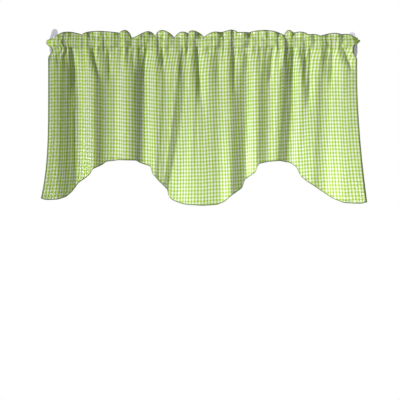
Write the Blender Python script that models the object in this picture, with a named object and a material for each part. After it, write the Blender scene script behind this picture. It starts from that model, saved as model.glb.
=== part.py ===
"""Gathered rod-pocket valance on its curtain rod, with the two wall brackets that carry the rod.

Metres, +Z up. The front faces -Y and the wall is the plane Y = 0. X = 0 lies midway between the brackets
and Z = 0 is the middle of the rod. The cloth is one closed solid: skirt, rod pocket and header ruffle.
"""

from math import cos, pi, radians, sin, sqrt

import bpy
import numpy as np

# The rod: an oval C-channel in two halves, the smaller sliding in the larger, each bent back to the wall.
ROD_HEIGHT = 0.016
ROD_DEPTH = 0.006
ROD_WALL = 0.0008
ROD_SLIT = 0.006
ROD_SLIDE_GAP = 0.0003
ROD_PROJECTION = 0.050
ROD_RETURN_X = 0.375
ROD_BEND = 0.018
ROD_END_GAP = 0.006
OUTER_HALF_END = 0.120
INNER_HALF_END = -0.180
BEND_STEPS = 8
ROUND_STEPS = 6

# The brackets: a round-ended plate on the wall with an arm that the rod's open end slips over.
PLATE_RADIUS = 0.0113
PLATE_TOP_RADIUS = 0.0068
PLATE_TOP_SHIFT = 0.0017
PLATE_WAIST = 0.006
PLATE_HEIGHT = 0.0647
PLATE_THICK = 0.0015
PLATE_OFFSET = 0.0038
ARM_THICK = 0.0015
ARM_HEIGHT = 0.0105
ARM_REACH = 0.026
ARM_INSET = 0.0036
SCREW_HOLE = 0.0045
SCREW_SPACING = 0.022

# The cloth.
CLOTH = 0.0012
POCKET_TOP = 0.0093
POCKET_BOTTOM = -0.012
POCKET_ROWS = (-0.006, 0.0068)
POCKET_SIDE = 0.0044
POCKET_SWELL = 0.0024
POCKET_FRONT_SHARE = 0.75
POCKET_REAR_SHARE = 0.6
SEAM_SHARE = 0.3
FOLD_SHARE_AT_ROD = 0.3
FOLD_ROUNDINGS = (0.0042, 0.0068, 0.0042)
GATHER_PITCH = 0.027
GATHER_DEPTH = 0.0011
GATHER_DRIFT = 1.3
GATHER_DRIFT_PITCH = 0.3
GATHER_FADE = 0.072
END_FADE = 0.028
RUN_END = ROD_RETURN_X - ROD_BEND
HEM_ROUNDING = 0.0035
HEM_PASSES = 6
FINE_STEPS = 1400
COLUMNS = 176
COLUMNS_AT_TURNS = 0.016
SKIRT_ROWS = (0.0, 0.03, 0.08, 0.16, 0.3, 0.5, 0.74, 1.0)
HEADER_ROWS = (0.5, 1.0)

# Turns of the skirt's folds from left to right, each a crest, a valley or a bend between them: its place
# across the front at the pocket, in the upper skirt and at the hem (mm), and how far it stands in front of
# the rod's middle in the upper skirt and at the hem (mm).
FOLDS = (
    # pocket, upper, hem, front, hem_front
    (-383, -377, -405, 13, 13),
    (-352, -352, -354, 10, 9),
    (-320, -306, -307, -10, -10),
    (-275, -269, -270, 8, 9),
    (-246, -242, -246, -3, -4),
    (-217, -215, -217, -4, -5),
    (-193, -190, -193, 8, 7),
    (-174, -170, -172, 7, 5),
    (-146, -143, -145, -9, -8),
    (-115, -114, -122, 4, 5),
    (-94, -90, -112, 1, 1),
    (-72, -67, -104, 5, -3),
    (-50, -49, -98, -4, -7),
    (-43, -38, -70, -1, -2),
    (-28, -24, -32, 4, 7),
    (-10, -4, -3, 5, 8.5),
    (26, 26, 30, 4, 6.5),
    (62, 68, 66, 9, 11.5),
    (100, 105, 106, -6, -8),
    (112, 115, 114, -1, 5),
    (136, 139, 131, 7, 10),
    (147, 150, 136, 5, 1),
    (160, 163, 156, 0, 1),
    (186, 186, 180, 7, 5),
    (211, 218, 210, -8, -6),
    (241, 243, 222, 3, 5),
    (250, 251, 227, 3, 2),
    (262, 265, 262, 3, 4),
    (294, 295, 294, -1, 0),
    (328, 329, 336, 10, 14),
    (352, 350, 352, 11, 13.5),
    (381, 373, 401, 12, 18),
)

# How the line of the cloth bends back to the wall past the straight run of the rod, at the pocket, in the
# upper skirt and at the hem.
ENDS = (
    # radius (mm), turn (degrees)
    (18, 78),
    (60, 5),
    (120, 3),
)

# How far the two side edges are drawn in at each height, where the gathers pull on the cloth (mm).
DRAWN_IN = (
    # height, left, right
    (-40, 0, 0),
    (-33, 1, 4),
    (-27, 8, 12),
    (-20, 15, 16),
    (-12, 15, 17),
    (-7, 10, 17),
    (-2, 3, 12),
    (3, 1, 6),
    (8, 5, 2),
    (30, 5, 0),
)
DRAWN_OVER = 0.075
DRAWN_FROM = 0.312

# The scalloped hem, from the left tail over the two arches to the right tail: each bend's place across the
# front and its height (mm).
HEM = (
    # across, height
    (-404, -379),
    (-384, -383),
    (-356, -382),
    (-334, -375),
    (-320, -362),
    (-311, -350),
    (-306, -342),
    (-288, -330),
    (-276, -320),
    (-271, -308),
    (-254, -301),
    (-244, -296),
    (-239, -290),
    (-206, -286),
    (-164, -287),
    (-155, -293),
    (-132, -301),
    (-127, -321),
    (-110, -337),
    (-96, -350),
    (-88, -358),
    (-85, -376),
    (-70, -387),
    (-44, -395),
    (-2, -397),
    (32, -395),
    (50, -388),
    (70, -371),
    (95, -353),
    (99, -334),
    (112, -326),
    (128, -315),
    (132, -296),
    (158, -290),
    (186, -288),
    (212, -293),
    (228, -304),
    (234, -321),
    (258, -342),
    (294, -366),
    (316, -380),
    (342, -390),
    (384, -392),
    (404, -388),
)
SKIRT_FALL = 0.33
INNER_FLARE = 1.35
END_FLARES = (3.8, 1.7)
FLARE_FROM = 0.282
FLARE_OVER = 0.075

# The header ruffle: where each dip in its top edge is across the front, its height, and the height of the
# crown that follows it (mm), and where that crown is between the two dips, as a share.
HEADER = (
    # across, dip, crown, crown_at
    (-383, 8, 27, 0.6),
    (-301, 21, 29, 0.33),
    (-205, 24, 31, 0.45),
    (-176, 12, 28, 0.7),
    (-117, 15, 31, 0.33),
    (-73, 13, 27, 0.45),
    (-36, 23, 30, 0.22),
    (1, 14, 27, 0.65),
    (44, 26, 33, 0.66),
    (81, 27, 26, 0.5),
    (112, 25, 32, 0.48),
    (197, 18, 32, 0.5),
    (220, 25, 28, 0.45),
    (254, 21, 21, 0.5),
    (284, 17, 24, 0.68),
    (336, 21, 22, 0.4),
)
HEADER_ROUNDNESS = 0.7
HEADER_FLARE = 1.1
HEADER_END_STARTS = 0.347
HEADER_END = 0.032
HEADER_END_DROP = 0.35
HEADER_END_LEAN = radians(55)

# Troughs pressed into the front where the cloth is gathered most: where each starts and ends across the
# front and its two heights, how far it bows to the right on the way, its half width and its depth (mm).
CREASES = (
    # top, at_height, bottom, down_to, bow, half_width, depth
    (-318, 2, -314, -90, 0, 12, 5.0),
    (-268, 6, -254, -84, 0, 8, 4.4),
    (-237, -8, -232, -110, 0, 7, 3.4),
    (-176, 14, -174, -76, 0, 7, 2.4),
    (-144, 4, -146, -100, 0, 9, 4.6),
    (-100, 6, -98, -90, 0, 9, 7.0),
    (-38, -2, -56, -110, -3, 7, 3.6),
    (-13, 22, -10, -190, 0, 11, 7.5),
    (34, 4, 32, -130, 0, 10, 5.0),
    (75, 30, 73, -110, 0, 7, 3.6),
    (107, 16, 105, -95, 0, 7, 3.2),
    (160, 2, 158, -110, 0, 8, 3.6),
    (219, 10, 212, -120, 0, 8, 4.4),
    (256, 6, 253, -190, 0, 10, 7.5),
    (306, -4, 294, -80, -3, 10, 6.0),
    (343, 10, 354, -76, 0, 9, 7.0),
)
CREASE_STARTS_OVER = 0.12
CREASE_FADES_OVER = 0.5
CREASE_SHOULDER = 0.3
CREASE_PULL = 0.45

# How much of a crease's depth the cloth takes at each height: little at the seams, which the rod holds.
PRESSED = (
    # height (mm), share
    (-30, 1.0),
    (-12, 0.25),
    (9.3, 0.0),
    (18, 1.0),
)
CREASE_SHARE_AT_POCKET = 0.8
MM = 0.001


def material(name, colour, roughness, metallic=0.0):
    made = bpy.data.materials.new(name)
    made.use_nodes = True
    shader = made.node_tree.nodes["Principled BSDF"]
    shader.inputs["Base Color"].default_value = (*colour, 1.0)
    shader.inputs["Roughness"].default_value = roughness
    shader.inputs["Metallic"].default_value = metallic
    return made


def add_object(name, points, faces, finish):
    """One mesh object, shaded smooth but for its sharp edges."""
    mesh = bpy.data.meshes.new(name)
    mesh.from_pydata([tuple(map(float, point)) for point in points], [], faces)
    mesh.materials.append(finish)
    mesh.shade_smooth()
    mesh.set_sharp_from_angle(angle=radians(40))
    made = bpy.data.objects.new(name, mesh)
    bpy.context.scene.collection.objects.link(made)
    return made


def rod_line(along, bend, turn):
    """Points and outward directions on the line of the rod, by distance along it from the middle.

    The line runs straight along X as far as RUN_END on either side, then bends back towards the wall
    with the radius bend, and past the angle turn it goes on straight.
    """
    side = np.sign(along)
    past = np.maximum(np.abs(along) - RUN_END, 0.0)
    angle = np.minimum(past / bend, turn)
    beyond = past - angle * bend
    x = np.minimum(np.abs(along), RUN_END) + bend * np.sin(angle) + beyond * np.cos(angle)
    y = bend * (1 - np.cos(angle)) + beyond * np.sin(angle) - ROD_PROJECTION
    outward = np.stack([side * np.sin(angle), -np.cos(angle), np.zeros_like(x)], axis=-1)
    return np.stack([side * x, y, np.zeros_like(x)], axis=-1), outward


def rounded(values, spacing, width):
    """Gaussian smoothing of evenly spaced values, which keeps the two ends where they are."""
    reach = int(3 * width / spacing)
    weights = np.exp(-0.5 * (np.arange(-reach, reach + 1) * spacing / width) ** 2)
    padded = np.pad(values, reach, mode="reflect", reflect_type="odd")
    return np.convolve(padded, weights / weights.sum(), mode="valid")


def fold_corners(level):
    """The turns of the folds at one level: distance along the rod line, and distance in front."""
    table = np.array(FOLDS) * MM
    front = table[:, 4] if level == 2 else table[:, 3]
    return table[:, level], front * (FOLD_SHARE_AT_ROD if level == 0 else 1)


def flat_lengths():
    """Distance along the flat cloth of each turn, measured round the folds of the upper skirt."""
    along, front = fold_corners(1)
    steps = np.hypot(np.diff(along), np.diff(front))
    return np.concatenate([[0.0], np.cumsum(steps)])


def fold_curves(flat):
    """(along, front) at the pocket, in the upper skirt and at the hem, at the given flat distances."""
    corners = flat_lengths()
    fine = np.linspace(0, corners[-1], FINE_STEPS)
    curves = []
    for level, rounding in enumerate(FOLD_ROUNDINGS):
        pair = []
        for values in fold_corners(level):
            smooth = rounded(np.interp(fine, corners, values), fine[1], rounding)
            pair.append(np.interp(flat, fine, smooth))
        curves.append(pair)
    return curves


def column_places():
    """Flat distances of the columns of points, closer together where the folds turn."""
    fine = np.linspace(0, flat_lengths()[-1], FINE_STEPS)
    along, front = fold_curves(fine)[1]
    angle = np.unwrap(np.arctan2(np.gradient(front), np.gradient(along)))
    density = 1 / fine[-1] + np.abs(np.gradient(angle, fine)) * COLUMNS_AT_TURNS
    density = rounded(density, fine[1], 2 * FOLD_ROUNDINGS[1])
    share = np.concatenate([[0.0], np.cumsum(density[:-1] + density[1:])])
    return np.interp(np.linspace(0, share[-1], COLUMNS), share, fine)


def ease(amount):
    """Smooth step from 0 to 1."""
    amount = np.clip(amount, 0.0, 1.0)
    return amount * amount * (3 - 2 * amount)


def fall_share(low, drop):
    """How much of the hem's shape the cloth has at each drop below the seam: more early near the middle."""
    near_end = ease((np.abs(low) - FLARE_FROM) / FLARE_OVER)
    flare = INNER_FLARE + (np.where(low < 0, *END_FLARES) - INNER_FLARE) * near_end
    return np.clip((drop - GATHER_FADE) / SKIRT_FALL, 0, 1) ** flare


def hem_height(flat):
    """Height of the cut edge: the hem's bends joined by straight lines of the flat cloth, then rounded.

    Where each bend falls on the cloth depends on the folds' places at its height, so it is found in passes.
    """
    table = np.array(HEM) * MM
    _, (upper, _), (low, _) = fold_curves(flat)
    fine = np.linspace(0, flat[-1], FINE_STEPS)
    cut = np.full(flat.shape, table[:, 1].mean())
    for _ in range(HEM_PASSES):
        across = upper + (low - upper) * fall_share(low, POCKET_BOTTOM - cut)
        places = np.interp(table[:, 0], np.maximum.accumulate(across), flat)
        smooth = rounded(np.interp(fine, places, table[:, 1]), fine[1], HEM_ROUNDING)
        cut = np.interp(flat, fine, smooth)
    return cut


def header_height(across):
    """Height of the ruffle's top edge: a round crown between each dip and the next, leaning to one side.

    The crown is sin(pi * u^p)^HEADER_ROUNDNESS, where u runs from 0 to 1 between the dips and p puts the
    top of the crown in its place.
    """
    table = np.array(HEADER)[:, :3] * MM
    crown_at = np.array(HEADER)[:, 3]
    places = np.append(table[:, 0], -table[0, 0])
    dips = np.append(table[:, 1], table[0, 1])
    spot = np.clip(np.searchsorted(places, across) - 1, 0, len(table) - 1)
    share = np.clip((across - places[spot]) / (places[spot + 1] - places[spot]), 0, 1)
    low = dips[spot] + (dips[spot + 1] - dips[spot]) * share
    leaning = share ** (np.log(0.5) / np.log(crown_at[spot]))
    return low + (table[spot, 2] - low) * np.sin(pi * leaning) ** HEADER_ROUNDNESS


def on_rod_line(along, front, height, end):
    """Points at the given distance along the rod line, in front of it, and height."""
    bend, turn = ENDS[end]
    heights, left, right = np.array(DRAWN_IN).T * MM
    pull = np.where(along < 0, np.interp(height, heights, left), np.interp(height, heights, right))
    near_edge = ease((np.abs(along) - DRAWN_FROM) / DRAWN_OVER)
    along = along - np.sign(along) * pull * near_edge
    line, outward = rod_line(along, bend * MM, radians(turn))
    points = line + outward * front[..., None]
    points[..., 2] = height
    return points


def skirt_points(flat):
    """Middle surface of the skirt, from the hem up to the pocket's lower seam: (column, row, xyz)."""
    (pocket, puckers), (upper, folds), (low, hem_folds) = fold_curves(flat)
    cut = hem_height(flat)
    near_edge = ease((np.abs(pocket) - DRAWN_FROM) / DRAWN_OVER)
    fade = GATHER_FADE + (END_FADE - GATHER_FADE) * near_edge
    rows = []
    for share in SKIRT_ROWS:
        height = POCKET_BOTTOM + (cut - POCKET_BOTTOM) * share
        drop = POCKET_BOTTOM - height
        spread = ease(drop / fade)[:, None]
        fall = fall_share(low, drop)[:, None]
        gathered = on_rod_line(pocket, puckers + fine_puckers(flat), height, 0)
        hung = on_rod_line(upper, folds, height, 1)
        flared = on_rod_line(low, hem_folds, height, 2)
        lower = hung + (flared - hung) * fall
        rows.append(gathered + (lower - gathered) * spread)
    return np.stack(rows[::-1], axis=1)


def creases(across, height):
    """(depth, sideways pull) of the troughs at each point.

    Across each trough the depth is a soft V, exp(-|d/w|^1.5), less a lower and wider one that leaves a
    shoulder on either side. Along it the depth grows over the first part of its length and fades over the
    last. The pull draws the cloth towards the middle of the trough.
    """
    depth = np.zeros(across.shape)
    pull = np.zeros(across.shape)
    for top, start, bottom, end, bow, width, deep in np.array(CREASES) * MM:
        share = (start - height) / (start - end)
        inside = ease(share / CREASE_STARTS_OVER) * ease((1 - share) / CREASE_FADES_OVER)
        middle = top + (bottom - top) * share + bow * 4 * share * (1 - share)
        away = (across - middle) / width
        trough = np.exp(-np.abs(away) ** 1.5) - CREASE_SHOULDER * np.exp(-((away / 2.4) ** 2))
        depth += deep * inside * trough
        pull -= deep * inside * CREASE_PULL * away * np.exp(-(away**2))
    return depth, pull


def press_share(height):
    """How much of a crease's depth the cloth takes at each height."""
    heights, shares = np.array(PRESSED).T
    return np.interp(height, heights * MM, shares)


def pressed(points):
    """A grid of points with the troughs pressed into it, towards the wall, and drawn in sideways."""
    depth, pull = creases(points[..., 0], points[..., 2])
    moved = np.stack([pull, depth, np.zeros_like(depth)], axis=-1)
    return points + moved * press_share(points[..., 2:])


def fine_puckers(flat):
    """Small gathers where the cloth is drawn up on the rod."""
    drift = GATHER_DRIFT * np.sin(2 * pi * flat / GATHER_DRIFT_PITCH)
    return GATHER_DEPTH * np.sin(2 * pi * flat / GATHER_PITCH + drift)


def header_points(flat):
    """Middle surface of the header ruffle above the pocket's upper seam: (column, row, xyz)."""
    (pocket, puckers), _, _ = fold_curves(flat)
    waves = puckers + fine_puckers(flat)
    rise = header_height(pocket) - POCKET_TOP
    at_end = ease((np.abs(pocket) - HEADER_END_STARTS) / HEADER_END)
    lean = HEADER_END_LEAN * at_end
    rise = rise * (1 - HEADER_END_DROP * at_end)
    rows = []
    for share in HEADER_ROWS:
        front = waves * (1 + HEADER_FLARE * share) - rise * share * np.sin(lean)
        rows.append(on_rod_line(pocket, front, POCKET_TOP + rise * share * np.cos(lean), 0))
    return np.stack(rows, axis=1)


def grid_normals(grid):
    """Unit normals of a grid of points, on the side that faces away from the wall."""
    across = np.gradient(grid, axis=0)
    upward = np.gradient(grid, axis=1)
    normal = np.cross(across, upward)
    return normal / np.linalg.norm(normal, axis=2, keepdims=True)


def around_faces(columns, around, first, turned):
    """Faces between neighbouring columns of a tube whose points are numbered from first, column by column."""
    faces = []
    for column in range(columns - 1):
        for k in range(around):
            n = (k + 1) % around
            a = first + column * around
            b = a + around
            face = (a + k, b + k, b + n, a + n)
            faces.append(face[::-1] if turned else face)
    return faces


def end_cap(front, rear, ring, low, high):
    """Faces that close one end of the cloth between its front, its rear and the ring of the rod pocket.

    low and high are the rows of the pocket's two seams.
    """
    span = high - low
    inner_front = ring[: span + 1]
    inner_rear = [ring[0]] + ring[: span - 1 : -1]
    caps = []
    for row in range(len(front) - 1):
        if row == low - 1:
            caps.append((front[row], front[row + 1], ring[0], rear[row + 1], rear[row]))
        elif row == high:
            caps.append((front[row], front[row + 1], rear[row + 1], rear[row], ring[span]))
        elif low <= row < high:
            k = row - low
            caps.append((front[row], front[row + 1], inner_front[k + 1], inner_front[k]))
            caps.append((inner_rear[k], inner_rear[k + 1], rear[row + 1], rear[row]))
        else:
            caps.append((front[row], front[row + 1], rear[row + 1], rear[row]))
    return caps


def closed_cloth(outer, tunnel, low, high):
    """Points and faces of the cloth solid from its columns of points.

    outer holds, for each column, the points up the front and back down the rear; tunnel holds the points
    round the rod pocket, up its front side and down its rear; low and high are the rows of its two seams.
    """
    columns, around = outer.shape[:2]
    inside = tunnel.shape[1]
    first = columns * around
    faces = around_faces(columns, around, 0, False) + around_faces(columns, inside, first, True)
    for column in (0, columns - 1):
        front = [column * around + row for row in range(around // 2)]
        rear = [column * around + around - 1 - row for row in range(around // 2)]
        ring = [first + column * inside + k for k in range(inside)]
        caps = end_cap(front, rear, ring, low, high)
        faces += [cap if column == 0 else cap[::-1] for cap in caps]
    return np.concatenate([outer.reshape(-1, 3), tunnel.reshape(-1, 3)]), faces


def pocket_sides(pocket, waves):
    """(front outside, rear outside, front inside, rear inside) rows of the rod pocket between its seams."""
    swell = POCKET_SWELL + waves * POCKET_FRONT_SHARE
    near = POCKET_SIDE + np.maximum(swell, 0)
    far = -POCKET_SIDE - np.maximum(POCKET_SWELL - swell, 0) * POCKET_REAR_SHARE
    half = CLOTH / 2
    fronts, rears, front_insides, rear_insides = [], [], [], []
    for height in POCKET_ROWS:
        depth, pull = creases(pocket, height)
        along = pocket + pull
        pushed = np.maximum(near - depth * CREASE_SHARE_AT_POCKET, POCKET_SIDE)
        fronts.append(on_rod_line(along, pushed + half, height, 0))
        rears.append(on_rod_line(along, far - half, height, 0))
        front_insides.append(on_rod_line(along, pushed - half, height, 0))
        rear_insides.append(on_rod_line(along, far + half, height, 0))
    return fronts, rears, front_insides, rear_insides


def valance_cloth(finish):
    """The whole cloth as one closed solid, with the pocket open at both ends for the rod."""
    flat = column_places()
    (pocket, puckers), _, _ = fold_curves(flat)
    waves = puckers + fine_puckers(flat)
    skirt = skirt_points(flat)
    header = header_points(flat)
    seam_heights = (*POCKET_ROWS, POCKET_TOP)
    middles = [on_rod_line(pocket, waves * SEAM_SHARE, height, 0) for height in seam_heights]
    middle = pressed(np.concatenate([skirt, np.stack(middles, axis=1), header], axis=1))
    low = skirt.shape[1] - 1
    high = low + len(middles)
    half = np.full(middle.shape[1], CLOTH)
    half[:low] = CLOTH / 2
    offset = grid_normals(middle) * half[:, None]
    front = middle + offset
    rear = middle - offset
    sides = pocket_sides(pocket, waves)
    front[:, low + 1 : high] = np.stack(sides[0], axis=1)
    rear[:, low + 1 : high] = np.stack(sides[1], axis=1)
    outer = np.concatenate([front, rear[:, ::-1]], axis=1)
    ring = [middle[:, low], *sides[2], middle[:, high], *sides[3][::-1]]
    points, faces = closed_cloth(outer, np.stack(ring, axis=1), low, high)
    return add_object("valance_cloth", points, faces, finish)


def channel_outline(height, depth):
    """Cross-section of a C-channel as (outward, up) pairs: a flat oval wall, open along the back."""
    def wall(inset):
        radius = depth / 2 - inset
        straight = height / 2 - depth / 2
        below = [(-radius * cos(pi * k / ROUND_STEPS), -straight - radius * sin(pi * k / ROUND_STEPS))
                 for k in range(ROUND_STEPS + 1)]
        above = [(-a, -b) for a, b in below]
        return [(-radius, -ROD_SLIT / 2), *below, *above, (-radius, ROD_SLIT / 2)]
    return wall(0.0) + wall(ROD_WALL)[::-1]


def rod_half(name, height, depth, side, inboard_end, finish):
    """One half of the rod: its channel carried from the return's open end to its end in the front run."""
    wall_side = ROD_PROJECTION - ROD_BEND - PLATE_THICK - ROD_END_GAP
    bend = [RUN_END + ROD_BEND * pi / 2 * k / BEND_STEPS for k in range(BEND_STEPS + 1)]
    along = np.array([inboard_end * side, *bend, bend[-1] + wall_side])
    line, outward = rod_line(along, ROD_BEND, pi / 2)
    outline = np.array(channel_outline(height, depth))
    rings = line[:, None] + outward[:, None] * outline[None, :, :1]
    rings = rings + np.array([0, 0, 1.0]) * outline[None, :, 1:]
    rings[..., 0] *= side
    return add_object(name, *swept(rings, side > 0), finish)


def swept(rings, turned):
    """Points and faces of a closed outline carried through its rings, with a cap at each end."""
    count, around = rings.shape[:2]
    faces = []
    for ring in range(count - 1):
        for k in range(around):
            n = (k + 1) % around
            a, b = ring * around, (ring + 1) * around
            faces.append((a + k, a + n, b + n, b + k))
    faces.append(tuple(range(around))[::-1])
    faces.append(tuple(range((count - 1) * around, count * around)))
    if turned:
        faces = [face[::-1] for face in faces]
    return rings.reshape(-1, 3), faces


def plate_outline():
    """Outline of a plate as (inboard, up) pairs from its outer edge: round foot, narrower round top."""
    foot = (PLATE_RADIUS, PLATE_RADIUS - PLATE_HEIGHT / 2)
    waist = (PLATE_RADIUS, PLATE_WAIST)
    top = (PLATE_RADIUS + PLATE_TOP_SHIFT, PLATE_HEIGHT / 2 - PLATE_TOP_RADIUS)
    lean = np.arctan2(top[1] - waist[1], PLATE_TOP_SHIFT)
    reach = np.hypot(top[1] - waist[1], PLATE_TOP_SHIFT)
    quarter = pi / 2 - np.arcsin((PLATE_RADIUS - PLATE_TOP_RADIUS) / reach)
    arcs = (
        (top, PLATE_TOP_RADIUS, lean - quarter, lean + quarter, 9),
        (waist, PLATE_RADIUS, lean + quarter, pi, 3),
        (foot, PLATE_RADIUS, pi, 2 * pi, 13),
        (waist, PLATE_RADIUS, 2 * pi, 2 * pi + lean - quarter, 3),
    )
    outline = []
    for (across, up), radius, start, end, count in arcs:
        outline += [(across + radius * cos(t), up + radius * sin(t)) for t in np.linspace(start, end, count)]
    return outline


def prism(name, outline, start, end, finish):
    """An outline of (x, z) pairs drawn from Y = start forward to Y = end."""
    back = [(x, start, z) for x, z in outline]
    front = [(x, end, z) for x, z in outline]
    rings = np.array([back, front])
    return add_object(name, *swept(rings, False), finish)


def helper(made):
    """Keeps a cutter or a piece that is joined by a Boolean out of the model."""
    made.hide_render = True
    made.display_type = "WIRE"
    return made


def join_or_cut(target, other, operation):
    step = target.modifiers.new(other.name, "BOOLEAN")
    step.operation = operation
    step.object = helper(other)
    step.solver = "EXACT"


def arm_top(rod_height, rod_depth):
    """Height of a bracket arm's upper edge, whose corners sit just under the channel's round crown."""
    radius = rod_depth / 2 - ROD_WALL
    crown = rod_height / 2 - ROD_WALL
    return crown - radius + sqrt(radius**2 - (ARM_THICK / 2) ** 2) - ROD_SLIDE_GAP


def bracket(name, side, rod_height, rod_depth, lift, finish):
    """A wall bracket: plate against the wall, arm forward into the rod's return."""
    outer_edge = side * (ROD_RETURN_X + ARM_THICK / 2 + ARM_INSET)
    middle = outer_edge - side * PLATE_RADIUS
    outline = [(outer_edge - side * a, lift + b) for a, b in plate_outline()]
    plate = prism(name, outline[::-side], 0.0, -PLATE_THICK, finish)
    top = arm_top(rod_height, rod_depth)
    near = side * ROD_RETURN_X - ARM_THICK / 2
    far = near + ARM_THICK
    arm_outline = [(far, top - ARM_HEIGHT), (far, top), (near, top), (near, top - ARM_HEIGHT)]
    arm = prism(name + "_arm", arm_outline, -PLATE_THICK / 2, -PLATE_THICK - ARM_REACH, finish)
    join_or_cut(plate, arm, "UNION")
    for up in (-SCREW_SPACING / 2, SCREW_SPACING / 2):
        ring = [(middle + SCREW_HOLE / 2 * cos(pi * k / 10), lift + up + SCREW_HOLE / 2 * sin(pi * k / 10))
                for k in range(20)]
        hole = prism(f"{name}_hole_{up > 0:d}", ring, PLATE_THICK, -2 * PLATE_THICK, finish)
        join_or_cut(plate, hole, "DIFFERENCE")
    return plate


def main():
    for old in list(bpy.data.objects):
        bpy.data.objects.remove(old, do_unlink=True)
    gingham = material("gingham_cloth", (0.42, 0.62, 0.16), 0.85)
    enamel = material("white_enamel", (0.82, 0.82, 0.86), 0.35)
    inner_height = ROD_HEIGHT - 2 * (ROD_WALL + ROD_SLIDE_GAP)
    inner_depth = ROD_DEPTH - 2 * (ROD_WALL + ROD_SLIDE_GAP)
    valance_cloth(gingham)
    rod_half("rod_outer", ROD_HEIGHT, ROD_DEPTH, -1, OUTER_HALF_END, enamel)
    rod_half("rod_inner", inner_height, inner_depth, 1, INNER_HALF_END, enamel)
    bracket("bracket_left", -1, ROD_HEIGHT, ROD_DEPTH, PLATE_OFFSET, enamel)
    bracket("bracket_right", 1, inner_height, inner_depth, -PLATE_OFFSET, enamel)


main()
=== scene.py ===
"""Gathered gingham valance on its flat curtain rod: the cloth, its stitching, the rod's enamel and a stage.

Metres, +Z up. The front faces -Y and the wall is the plane Y = 0. X = 0 lies midway between the brackets
and Z = 0 is the middle of the rod. The cloth is one thin sheet: its hem is turned under behind the lower
edge, and above the skirt it runs up the front of the rod pocket, over the header ruffle and down the rear.
"""

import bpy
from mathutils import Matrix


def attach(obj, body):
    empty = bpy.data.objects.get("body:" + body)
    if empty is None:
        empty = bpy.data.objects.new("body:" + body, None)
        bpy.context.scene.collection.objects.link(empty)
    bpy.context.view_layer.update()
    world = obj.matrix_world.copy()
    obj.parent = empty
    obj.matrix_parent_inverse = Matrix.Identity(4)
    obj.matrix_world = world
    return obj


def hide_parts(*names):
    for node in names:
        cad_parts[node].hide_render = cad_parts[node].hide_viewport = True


bl_info = {
    "name": "Gathered Gingham Valance",
    "version": (1, 0, 0),
    "blender": (4, 5, 0),
    "location": "3D View > Sidebar > Valance",
    "description": "Makes a gathered rod-pocket valance over its curtain rod",
    "category": "Object",
}

from math import pi, radians

import bpy
import numpy as np

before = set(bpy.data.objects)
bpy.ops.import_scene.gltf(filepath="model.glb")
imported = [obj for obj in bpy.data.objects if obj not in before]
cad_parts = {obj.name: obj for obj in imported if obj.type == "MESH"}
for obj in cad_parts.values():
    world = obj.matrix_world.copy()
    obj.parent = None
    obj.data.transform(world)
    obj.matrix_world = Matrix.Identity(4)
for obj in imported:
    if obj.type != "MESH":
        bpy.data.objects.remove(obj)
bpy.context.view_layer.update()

MM = 0.001

# The rod: half its depth, how far its middle stands from the wall, and where its straight run ends.
ROD_HALF_DEPTH = 0.003
ROD_PROJECTION = 0.050
RUN_END = 0.357

# The rod pocket: its two seams, how far its cloth stands off the rod's middle, how far it swells past that,
# and how much of the folds' depth its front, its rear and its upper seam take.
POCKET_TOP = 0.0093
POCKET_BOTTOM = -0.012
POCKET_SIDE = 0.0044
POCKET_SWELL = 0.0024
POCKET_FRONT_SHARE = 0.75
POCKET_REAR_SHARE = 0.6
SEAM_SHARE = 0.3

# How much cloth there is round the front of the pocket from seam to seam, and how deep the seam's gathers
# still are in its middle, as a share.
POCKET_LENGTH = 0.025
MID_POCKET_SHARE = 0.35

# The folds: how deep they are at the rod, as a share, and how softly they turn at the pocket, in the upper
# skirt and at the hem.
FOLD_SHARE_AT_ROD = 0.3
FOLD_ROUNDINGS = (0.0042, 0.0068, 0.0042)

# The broad gathers on the rod, whose pitch drifts, and the drop over which the cloth hangs free of them,
# which is shorter at the ends.
GATHER_PITCH = 0.027
GATHER_DEPTH = 0.0011
GATHER_DRIFT = 1.3
GATHER_DRIFT_PITCH = 0.3
GATHER_FADE = 0.072
END_FADE = 0.028

# Uneven gathers: the pitch of each kind, and how fast its phase and strength wander, in radians a metre.
SEAM_GATHERS = (0.0105, 31)
SLANTING_GATHERS = (0.019, 23)
RUFFLE_GATHERS = (0.019, 17)
RIPPLES = (0.017, 13)
ROWS_WAVER = (0.036, 53)

# How far down the skirt the seam's gathers and the slanting ones last, how strong the slanting ones are,
# how far to the side they and the shallow ripples run as they go down, and how deep the ripples are.
SEAM_GATHERS_FADE = 0.016
SLANTING_FADE = 0.036
SLANTING_STRENGTH = 1.2
SLANT = 0.12
RIPPLE_SLANT = 0.03
RIPPLE_DEPTH = 0.0003

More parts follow.
